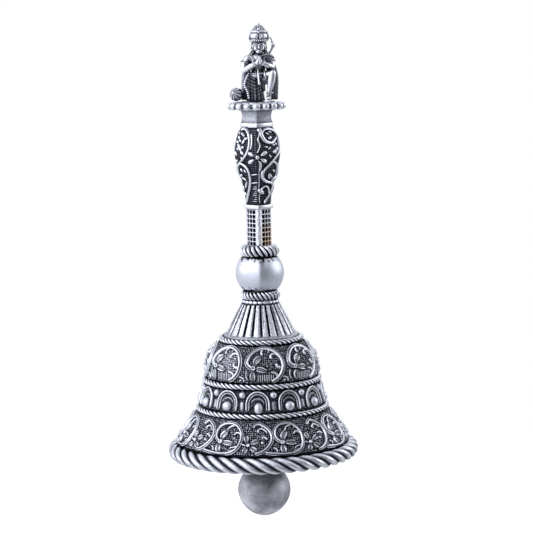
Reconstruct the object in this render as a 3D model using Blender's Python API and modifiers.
"""Hand bell with a kneeling figure on its handle, as an assembly of separate sub-parts.

Frame: metres, +Z up along the bell's axis, the front faces -Y. The origin is on the axis in the
middle of the hand grip, at the ferrule. The named sizes below are millimetres, and a height is
measured from the lowest point of the hanging clapper; level() turns a height into the frame's Z.
"""

import math

import bmesh
import bpy
from mathutils import Matrix, Vector

# ---- Driving dimensions (mm) -------------------------------------------------------------------
MM = 0.001
ORIGIN_HEIGHT = 122.0   # the grip's middle above the lowest point of the clapper
GAP = 0.3               # kept between neighbours that touch on the real bell
MERGE = 0.00001         # merge distance of modifiers, in metres
ROUND_STEPS = 40        # facets round a large turned piece
SMALL_STEPS = 24        # facets round a small turned piece

# bell body
SHELL_TOP = 71.6
SHELL_UNDERSIDE = 67.6
RIM_ROPE_RADIUS = 33.6
RIM_ROPE_TUBE = 3.1
RIM_ROPE_HEIGHT = 26.6
CORD_TUBE = 1.05
SHOULDER_CORD = (15.3, 69.9)      # radius to the tube's centre, height
UPPER_CORD = (21.9, 54.2)
LOWER_CORD = (24.6, 43.4)

# arch band round the waist of the bell
ARCH_COUNT = 12
ARCH_TURN = math.radians(-4.3)    # the first arch stands this far from the front
ARCH_HALF_WIDTH = 3.9
ARCH_FOOT = 45.2
ARCH_SPRING = 47.6                # where the legs turn into the round top
ARCH_WIRE = 0.6
STUD_RADIUS = 1.95
STUD_DEPTH = 0.8
STUD_HEIGHT = 46.9

# crown and handle
ROD_RADIUS = 2.0
BORE_RADIUS = 2.3
ROD_FOOT = 64.8
ROD_TOP = 116.0
FLUTE_COUNT = 24
FLUTE_DEPTH = 0.35
KNOB_RADIUS = 9.25
KNOB_HEIGHT = 94.9
KNOB_HALF_HEIGHT = 6.2            # the ball is cut flat where it meets the cords
KNOB_SQUARENESS = 1.75
CROWN_CORD = (5.7, 86.5)
CROWN_CORD_TUBE = 1.75
GRIP_CORD = (5.2, 103.75)
GRIP_CORD_TUBE = 2.3
STEM_CORNER = 4.7
SQUARENESS = 1.25                 # exponent of the four-sided section: 1 is a square, 2 a circle
FERRULE_FOOT = 119.6
FERRULE_TOP = 121.2
FERRULE_CORNER = 5.5
BULB_TOP = 150.3
NECK_BAND_CORNER = 6.2
NECK_FOOT = 152.6
NECK_TOP = 156.9

# platform and figure
PLATFORM_FOOT = 157.2
PLATFORM_TOP = 160.3
PLATFORM_RADIUS = 7.9
BEAD_COUNT = 18
BEAD_RING_RADIUS = 9.8
BEAD_RADIUS = 1.55
BEAD_WAIST = 0.8                  # radius of the ring between two beads
FIGURE_X = 1.0                    # the figure kneels a little off the axis
FIGURE_VOXEL = 1.0
CROWN_BRIM = 182.5

# clapper
WIRE_EYE = 0.9                    # wire radius of the fixed loop and the clapper's eye
EYE_RADIUS = 2.6
LINK_WIRE = 0.8
LINK_RADIUS = 3.4
NUT_FOOT = 63.2
NUT_TOP = 66.2
EYE_HEIGHT = 61.1
BALL_RADIUS = 10.3
CLAPPER_ROD_RADIUS = 1.2

LINK_PIVOT = EYE_HEIGHT - EYE_RADIUS
LINK_HEIGHT = LINK_PIVOT + WIRE_EYE + LINK_WIRE + GAP - LINK_RADIUS
CLAPPER_PIVOT = LINK_HEIGHT - LINK_RADIUS
CLAPPER_EYE_HEIGHT = CLAPPER_PIVOT + LINK_WIRE + WIRE_EYE + GAP - EYE_RADIUS

# outer side of the bell's shell, (radius, height), from the crown plate down to the lip
SHELL_OUTSIDE = [
    (BORE_RADIUS, SHELL_TOP), (13.4, SHELL_TOP), (13.9, 71.3), (13.9, 68.5), (16.4, 68.4),
    (18.0, 66.6), (19.6, 64.6), (20.9, 61.6), (21.4, 58.4), (21.5, 55.6), (20.5, 55.5),
    (20.5, 52.8), (22.0, 52.4), (24.0, 44.9), (23.2, 44.8), (23.2, 42.0), (25.2, 41.9),
    (28.8, 36.6), (31.2, 33.2), (32.8, 30.3), (30.4, 28.4), (30.0, 24.2),
]
SHELL_INSIDE = [
    (28.4, 24.2), (28.4, 30.6), (24.4, 37.6), (21.2, 41.8), (20.2, 47.6), (18.9, 52.2),
    (18.8, 57.4), (17.4, 62.6), (14.6, 65.4), (12.2, SHELL_UNDERSIDE), (BORE_RADIUS, SHELL_UNDERSIDE),
]
CROWN_OUTLINE = [(13.3, 71.9), (12.4, 73.6), (11.3, 75.9), (9.9, 78.6), (8.4, 81.2), (7.2, 83.2)]
BULB_CORNERS = [
    (4.6, 121.6), (4.9, 123.6), (5.3, 126.4), (6.2, 130.4), (7.4, 135.0), (8.4, 138.4),
    (8.6, 141.0), (8.1, 144.4), (7.2, 148.0), (6.0, BULB_TOP),
]
NECK_CORNERS = [(6.0, NECK_FOOT), (5.5, 153.6), (5.4, 155.0), (6.2, NECK_TOP)]


# ---- Scene and placing -------------------------------------------------------------------------
for old in list(bpy.data.objects):
    bpy.data.objects.remove(old)

parts = bpy.data.collections.new("hand_bell")
cutters = bpy.data.collections.new("cutters")
bpy.context.scene.collection.children.link(parts)
bpy.context.scene.collection.children.link(cutters)


def level(height):
    """Z in the frame, in metres, of a height in millimetres above the clapper's lowest point."""
    return (height - ORIGIN_HEIGHT) * MM


def spot(x, y, height):
    """A point of the frame from millimetres."""
    return Vector((x * MM, y * MM, level(height)))


def metal(name, colour, roughness):
    made = bpy.data.materials.new(name)
    made.use_nodes = True
    shader = made.node_tree.nodes["Principled BSDF"]
    shader.inputs["Base Color"].default_value = (*colour, 1.0)
    shader.inputs["Metallic"].default_value = 1.0
    shader.inputs["Roughness"].default_value = roughness
    return made


SILVER = metal("antique_silver", (0.62, 0.62, 0.67), 0.36)
DARK_SILVER = metal("oxidised_silver", (0.24, 0.24, 0.28), 0.48)
PEWTER = metal("brushed_pewter", (0.42, 0.42, 0.46), 0.40)
STEEL = metal("plated_steel", (0.50, 0.50, 0.52), 0.34)


def place(name, mesh, look, collection=parts):
    """Object with its own copy of the look, in its collection and shaded smooth."""
    mesh.materials.clear()
    own = look.copy()
    own.name = name + "_finish"
    mesh.materials.append(own)
    if mesh.polygons:
        mesh.shade_smooth()
        mesh.set_sharp_from_angle(angle=math.radians(40))
    made = bpy.data.objects.new(name, mesh)
    collection.objects.link(made)
    return made


def from_bmesh(name, bm, look, collection=parts):
    bmesh.ops.recalc_face_normals(bm, faces=bm.faces[:])
    mesh = bpy.data.meshes.new(name)
    bm.to_mesh(mesh)
    bm.free()
    return place(name, mesh, look, collection)


def boolean(piece, cutter, operation="DIFFERENCE"):
    cut = piece.modifiers.new(operation.lower(), "BOOLEAN")
    cut.operation = operation
    cut.object = cutter
    return piece


# ---- Shapes ------------------------------------------------------------------------------------
def turned(name, outline, look, steps=ROUND_STEPS, on_axis=False):
    """Solid of revolution. The outline runs down its outer side; a ring's then runs back up."""
    mesh = bpy.data.meshes.new(name)
    points = [(r * MM, 0.0, level(h)) for r, h in outline]
    edges = [(i, i + 1) for i in range(len(points) - 1)]
    if not on_axis:
        edges.append((len(points) - 1, 0))
    mesh.from_pydata(points, edges, [])
    made = place(name, mesh, look)
    screw = made.modifiers.new("turn", "SCREW")
    screw.steps = screw.render_steps = steps
    screw.use_merge_vertices = True
    screw.merge_threshold = MERGE
    screw.use_smooth_shade = True
    return made


def torus(name, radius, tube, height, look, turn=(0, 0, 0), around=ROUND_STEPS, across=10,
          collection=parts):
    """Ring of round section, its axis along Z before the turn."""
    bpy.ops.mesh.primitive_torus_add(
        major_radius=radius * MM, minor_radius=tube * MM,
        major_segments=around, minor_segments=across,
    )
    made = bpy.context.object
    mesh = made.data
    bpy.data.objects.remove(made)
    made = place(name, mesh, look, collection)
    made.rotation_euler = turn
    made.location = spot(0, 0, height)
    return made


def cylinder(name, radius, foot, top, look, sides=24, collection=parts):
    bm = bmesh.new()
    bmesh.ops.create_cone(
        bm, cap_ends=True, segments=sides, radius1=radius * MM, radius2=radius * MM,
        depth=(top - foot) * MM, matrix=Matrix.Translation(spot(0, 0, (foot + top) / 2)),
    )
    return from_bmesh(name, bm, look, collection)


def loft(name, sections, look):
    """Closed solid through rings of points, from its foot to its top."""
    bm = bmesh.new()
    rings = [[bm.verts.new(p) for p in section] for section in sections]
    for low, high in zip(rings, rings[1:]):
        for i in range(len(low)):
            j = (i + 1) % len(low)
            bm.faces.new((low[i], low[j], high[j], high[i]))
    bm.faces.new(list(reversed(rings[0])))
    bm.faces.new(rings[-1])
    return from_bmesh(name, bm, look)


def square_section(corner, height, count=24, squareness=SQUARENESS):
    """Four-sided section with a soft corner at the front, the back and each side."""
    ring = []
    for i in range(count):
        a = 2 * math.pi * i / count
        spread = abs(math.cos(a)) ** squareness + abs(math.sin(a)) ** squareness
        r = corner / spread ** (1 / squareness)
        ring.append(spot(r * math.cos(a), r * math.sin(a), height))
    return ring


def wire(name, points, radius, look, sides_level=1):
    """Round wire through the points, with filled caps."""
    curve = bpy.data.curves.new(name, "CURVE")
    curve.dimensions = "3D"
    curve.bevel_depth = radius * MM
    curve.bevel_resolution = sides_level
    curve.use_fill_caps = True
    spline = curve.splines.new("POLY")
    spline.points.add(len(points) - 1)
    for point, place_at in zip(spline.points, points):
        point.co = (*place_at, 1.0)
    own = look.copy()
    own.name = name + "_finish"
    curve.materials.append(own)
    made = bpy.data.objects.new(name, curve)
    parts.objects.link(made)
    return made


def hide_cutter(cutter):
    cutter.hide_render = True
    cutter.display_type = "WIRE"
    return cutter


def shell_radius(height):
    """Radius of the shell's outer side at a height, on the straight lines of its outline."""
    for (r1, h1), (r2, h2) in zip(SHELL_OUTSIDE[1:], SHELL_OUTSIDE[2:]):
        if h2 <= height <= h1 and h1 > h2:
            return r1 + (r2 - r1) * (h1 - height) / (h1 - h2)
    raise ValueError(f"no shell wall at {height} mm")


def around(angle, radius, height):
    """A point at an angle from the front, positive towards +X."""
    return spot(radius * math.sin(angle), -radius * math.cos(angle), height)


# ---- Cutters -----------------------------------------------------------------------------------
bore = hide_cutter(cylinder("rod_bore", BORE_RADIUS, ROD_FOOT - GAP, ROD_TOP + GAP, STEEL,
                            collection=cutters))


def half_space(name, side):
    """Block that takes away everything on one side of the seam, less half the gap."""
    size = 0.2
    bm = bmesh.new()
    shift = Vector((side * (size / 2 - GAP * MM / 2), 0, 0))
    bmesh.ops.create_cube(bm, size=size, matrix=Matrix.Translation(shift))
    return hide_cutter(from_bmesh(name, bm, STEEL, cutters))


right_block = half_space("right_of_seam", 1)
left_block = half_space("left_of_seam", -1)


# ---- Bell body ---------------------------------------------------------------------------------
turned("bell_shell", SHELL_OUTSIDE + SHELL_INSIDE, DARK_SILVER)
torus("rim_rope", RIM_ROPE_RADIUS, RIM_ROPE_TUBE, RIM_ROPE_HEIGHT, SILVER, across=8)
for cord_name, (cord_radius, cord_height) in (
    ("shoulder_cord", SHOULDER_CORD), ("upper_band_cord", UPPER_CORD), ("lower_band_cord", LOWER_CORD),
):
    torus(cord_name, cord_radius, CORD_TUBE, cord_height, SILVER, across=6)


def arch_path(angle):
    """Inverted U standing just clear of the wall: up one leg, over the round top, down the other."""
    flat = [(-ARCH_HALF_WIDTH, ARCH_FOOT)]
    for step in range(7):
        a = math.pi * step / 6
        flat.append((-ARCH_HALF_WIDTH * math.cos(a), ARCH_SPRING + ARCH_HALF_WIDTH * math.sin(a)))
    flat.append((ARCH_HALF_WIDTH, ARCH_FOOT))
    path = []
    for along, height in flat:
        r = shell_radius(height) + GAP + ARCH_WIRE * 1.15
        path.append(around(angle + along / r, r, height))
    return path


def stud(name, angle):
    """Flattened round boss at the foot of an arch."""
    r = shell_radius(STUD_HEIGHT) + STUD_DEPTH + 2 * GAP
    bm = bmesh.new()
    shape = Matrix.Diagonal((STUD_RADIUS * MM, STUD_DEPTH * MM, STUD_RADIUS * MM, 1.0))
    bmesh.ops.create_uvsphere(bm, u_segments=8, v_segments=6, radius=1.0, matrix=shape)
    made = from_bmesh(name, bm, SILVER)
    made.location = around(angle, r, STUD_HEIGHT)
    made.rotation_euler = (0, 0, angle)
    return made


for index in range(ARCH_COUNT):
    turn = ARCH_TURN + 2 * math.pi * index / ARCH_COUNT
    wire(f"arch_{index + 1:02d}", arch_path(turn), ARCH_WIRE, SILVER)
    stud(f"arch_stud_{index + 1:02d}", turn)


# ---- Crown and handle --------------------------------------------------------------------------
def fluted_section(radius, height):
    ring = []
    for i in range(2 * FLUTE_COUNT):
        a = math.pi * i / FLUTE_COUNT
        r = radius - (FLUTE_DEPTH if i % 2 else 0)
        ring.append(spot(r * math.cos(a), r * math.sin(a), height))
    return ring


boolean(loft("fluted_crown", [fluted_section(r, h) for r, h in CROWN_OUTLINE], SILVER), bore)

hub_radius = CROWN_CORD[0] - CROWN_CORD_TUBE - GAP
turned("crown_ring", [
    (BORE_RADIUS, 88.0), (hub_radius, 88.0), (hub_radius, 84.4), (6.9, 84.4), (6.9, 83.5),
    (BORE_RADIUS, 83.5),
], SILVER, SMALL_STEPS)
torus("crown_cord", *CROWN_CORD[:1], CROWN_CORD_TUBE, CROWN_CORD[1], SILVER, around=SMALL_STEPS, across=8)


def knob_sections():
    """Ball with a soft upright corner at the front, the back and each side."""
    steps = 10
    sections = []
    for step in range(steps + 1):
        rise = KNOB_HALF_HEIGHT * (2 * step / steps - 1)
        corner = math.sqrt(KNOB_RADIUS ** 2 - rise ** 2)
        sections.append(square_section(corner, KNOB_HEIGHT + rise, squareness=KNOB_SQUARENESS))
    return sections


def grip_sections():
    """Four-sided stem, a round waist inside the ferrule, then the swelling bulb."""
    waist = 3.9
    sections = [square_section(STEM_CORNER - 0.35, 106.4), square_section(STEM_CORNER, 107.0),
                square_section(STEM_CORNER, 118.9)]
    sections += [square_section(waist, h, squareness=2.0) for h in (119.3, 121.4)]
    return sections + [square_section(r, h) for r, h in BULB_CORNERS]


for side, block in (("left", right_block), ("right", left_block)):
    for name, sections in (("knob", knob_sections()), ("grip", grip_sections())):
        boolean(boolean(loft(f"{name}_{side}", sections, SILVER), bore), block)

torus("grip_cord", GRIP_CORD[0], GRIP_CORD_TUBE, GRIP_CORD[1], SILVER, around=SMALL_STEPS, across=10)
waist_bore = hide_cutter(cylinder("waist_bore", 4.2, FERRULE_FOOT - 1, FERRULE_TOP + 1, STEEL,
                                  collection=cutters))
boolean(loft("grip_ferrule", [
    square_section(FERRULE_CORNER - 0.3, FERRULE_FOOT), square_section(FERRULE_CORNER, FERRULE_FOOT + 0.4),
    square_section(FERRULE_CORNER, FERRULE_TOP - 0.4), square_section(FERRULE_CORNER - 0.3, FERRULE_TOP),
], SILVER), waist_bore)
loft("neck_band", [square_section(NECK_BAND_CORNER - 0.2, BULB_TOP + GAP),
                   square_section(NECK_BAND_CORNER, BULB_TOP + 1.1),
                   square_section(NECK_BAND_CORNER - 0.2, NECK_FOOT - GAP)], SILVER)
loft("neck", [square_section(r, h) for r, h in NECK_CORNERS], SILVER)


# ---- Platform and figure -----------------------------------------------------------------------
turned("platform", [
    (0, PLATFORM_TOP), (PLATFORM_RADIUS - 0.5, PLATFORM_TOP), (PLATFORM_RADIUS, PLATFORM_TOP - 0.5),
    (PLATFORM_RADIUS, PLATFORM_FOOT + 0.8), (PLATFORM_RADIUS - 1.0, PLATFORM_FOOT), (0, PLATFORM_FOOT),
], SILVER, SMALL_STEPS, on_axis=True)


def bead_ring():
    """Torus whose tube swells and narrows into a row of beads."""
    height = 158.75
    facets = 4
    made = torus("bead_ring", BEAD_RING_RADIUS, BEAD_RADIUS, height, SILVER,
                 around=BEAD_COUNT * facets, across=6)
    for vertex in made.data.vertices:
        a = math.atan2(vertex.co.y, vertex.co.x)
        middle = Vector((math.cos(a), math.sin(a), 0)) * BEAD_RING_RADIUS * MM
        swell = abs(math.cos(a * BEAD_COUNT / 2)) ** 0.6
        share = (BEAD_WAIST + (BEAD_RADIUS - BEAD_WAIST) * swell) / BEAD_RADIUS
        vertex.co = middle + (vertex.co - middle) * share
    return made


bead_ring()


def ball(bm, centre, radii):
    shape = Matrix.Translation(spot(*centre)) @ Matrix.Diagonal((*(r * MM for r in radii), 1.0))
    bmesh.ops.create_uvsphere(bm, u_segments=16, v_segments=10, radius=1.0, matrix=shape)


def limb(bm, start, end, start_radius, end_radius):
    """Tapered limb with round ends between two points (x, y, height)."""
    a, b = spot(*start), spot(*end)
    turn = (b - a).to_track_quat("Z", "Y").to_matrix().to_4x4()
    bmesh.ops.create_cone(
        bm, cap_ends=True, segments=14, radius1=start_radius * MM, radius2=end_radius * MM,
        depth=(b - a).length, matrix=Matrix.Translation((a + b) / 2) @ turn,
    )
    ball(bm, start, [start_radius] * 3)
    ball(bm, end, [end_radius] * 3)


def figure():
    """Kneeling figure, palms together: overlapping soft forms fused by a voxel remesh."""
    x = FIGURE_X
    bm = bmesh.new()
    ball(bm, (x + 0.4, 0.3, 180.6), (2.5, 2.6, 2.9))                              # head
    limb(bm, (x + 0.3, 0.8, 177.0), (x + 0.4, 0.6, 179.5), 1.6, 1.4)              # neck
    limb(bm, (x - 0.1, 1.3, 170.6), (x + 0.1, 1.0, 176.2), 3.2, 3.7)              # trunk
    limb(bm, (x - 3.9, 0.8, 176.8), (x - 5.5, -0.4, 171.4), 1.7, 1.3)             # arms to the elbows
    limb(bm, (x + 4.2, 0.8, 176.8), (x + 5.4, -0.4, 172.4), 1.7, 1.3)
    limb(bm, (x - 5.4, -0.6, 171.3), (x + 0.1, -4.2, 175.2), 1.25, 0.9)           # forearms
    limb(bm, (x + 5.3, -0.6, 172.3), (x + 0.8, -4.2, 175.2), 1.25, 0.9)
    limb(bm, (x + 0.4, -4.3, 174.8), (x + 0.5, -4.0, 177.7), 1.1, 0.7)            # joined hands
    limb(bm, (x - 0.6, 1.4, 169.4), (x - 0.8, -4.0, 163.6), 3.4, 2.6)             # kneeling leg
    limb(bm, (x - 1.4, -3.6, 162.9), (x - 2.0, 5.2, 162.6), 1.9, 1.5)
    limb(bm, (x + 1.8, 1.0, 168.4), (x + 5.0, -3.0, 170.4), 2.6, 1.9)             # raised leg
    limb(bm, (x + 5.0, -3.1, 170.0), (x + 3.6, -3.4, 162.9), 1.7, 1.2)
    limb(bm, (x + 3.6, -2.8, 162.1), (x + 3.8, -5.6, 161.9), 1.2, 0.9)
    limb(bm, (x + 3.4, 3.4, 175.6), (x + 5.6, 3.6, 162.6), 1.0, 1.6)              # cape down the back
    limb(bm, (x - 0.2, 3.0, 175.6), (x + 0.8, 4.6, 163.0), 1.8, 2.6)
    made = from_bmesh("figure", bm, SILVER)
    remesh = made.modifiers.new("fuse", "REMESH")
    remesh.mode = "VOXEL"
    remesh.voxel_size = FIGURE_VOXEL * MM
    remesh.use_smooth_shade = True
    return made


figure()

crown = turned("figure_crown", [
    (0, 189.9), (0.5, 189.3), (1.7, 188.0), (3.2, 186.4), (4.3, 184.6), (4.5, 183.4), (4.2, CROWN_BRIM),
    (3.2, CROWN_BRIM), (2.7, 184.2), (1.5, 185.2), (0, 185.5),
], SILVER, 20, on_axis=True)
crown.location = (Vector((FIGURE_X + 0.4, 0.3, 0))) * MM

wire("figure_tail", [spot(FIGURE_X + x, y, h) for x, y, h in (
    (2.6, 5.4, 177.9), (4.2, 5.3, 178.4), (5.2, 4.9, 179.8), (5.5, 4.4, 181.4), (5.4, 4.0, 182.9),
    (4.9, 3.7, 184.0), (4.3, 4.1, 184.4),
)], 0.5, SILVER)


def mace():
    """Ball-headed club lying on the platform beside the figure."""
    head = Vector((-7.5, -1.8, PLATFORM_TOP + GAP + 2.6))
    bm = bmesh.new()
    ball(bm, head, [2.6] * 3)
    made = from_bmesh("mace", bm, SILVER)
    foot, end = spot(*head), spot(-4.6, 7.2, PLATFORM_TOP + GAP + 0.7)
    turn = (end - foot).to_track_quat("Z", "Y").to_matrix().to_4x4()
    bm = bmesh.new()
    bmesh.ops.create_cone(
        bm, cap_ends=True, segments=10, radius1=0.65 * MM, radius2=0.65 * MM,
        depth=(end - foot).length, matrix=Matrix.Translation((foot + end) / 2) @ turn,
    )
    bar = hide_cutter(from_bmesh("mace_bar", bm, SILVER, cutters))
    return boolean(made, bar, "UNION")


mace()


# ---- Hidden hardware and the clapper -----------------------------------------------------------
cylinder("tie_rod", ROD_RADIUS, ROD_FOOT, ROD_TOP, STEEL)
turned("crown_washer", [
    (BORE_RADIUS, SHELL_UNDERSIDE - GAP), (5.2, SHELL_UNDERSIDE - GAP), (5.2, NUT_TOP + GAP),
    (BORE_RADIUS, NUT_TOP + GAP),
], STEEL, SMALL_STEPS)

fixed_loop = hide_cutter(torus("fixed_loop", EYE_RADIUS, WIRE_EYE, EYE_HEIGHT, STEEL,
                               turn=(math.pi / 2, 0, 0), around=24, across=8, collection=cutters))
eye_nut = cylinder("eye_nut", 4.2, NUT_FOOT, NUT_TOP, STEEL, sides=6)
boolean(boolean(eye_nut, fixed_loop, "UNION"), bore)


def hang(piece, parent):
    """Parent a piece to an empty and keep its place."""
    piece.parent = parent
    piece.matrix_parent_inverse = Matrix.Translation(parent.location).inverted()
    return piece


def pivot(name, height):
    """Empty on a joint's axis."""
    made = bpy.data.objects.new(name, None)
    made.location = spot(0, 0, height)
    made.empty_display_size = 0.005
    parts.objects.link(made)
    return made


link_pivot = pivot("link_pivot", LINK_PIVOT)
clapper_pivot = hang(pivot("clapper_pivot", CLAPPER_PIVOT), link_pivot)

link = torus("link_ring", LINK_RADIUS, LINK_WIRE, LINK_HEIGHT, STEEL,
             turn=(0, math.pi / 2, 0), around=24, across=8)
hang(link, link_pivot)


def clapper():
    """Round eye, rod and pierced ball, all hung from the clapper's pivot."""
    eye = hide_cutter(torus("clapper_eye", EYE_RADIUS, WIRE_EYE, CLAPPER_EYE_HEIGHT, PEWTER,
                            turn=(math.pi / 2, 0, 0), around=24, across=8, collection=cutters))
    socket_floor = BALL_RADIUS * 1.4
    rod = cylinder("clapper_rod", CLAPPER_ROD_RADIUS, socket_floor, CLAPPER_EYE_HEIGHT - EYE_RADIUS,
                   PEWTER, sides=16)
    boolean(rod, eye, "UNION")
    socket = hide_cutter(cylinder("ball_socket", CLAPPER_ROD_RADIUS + GAP, socket_floor - GAP,
                                  3 * BALL_RADIUS, PEWTER, sides=16, collection=cutters))
    bm = bmesh.new()
    bmesh.ops.create_uvsphere(bm, u_segments=24, v_segments=14, radius=BALL_RADIUS * MM)
    knocker = from_bmesh("clapper_ball", bm, PEWTER)
    knocker.location = spot(0, 0, BALL_RADIUS)
    boolean(knocker, socket)
    for piece in (rod, knocker):
        hang(piece, clapper_pivot)


clapper()
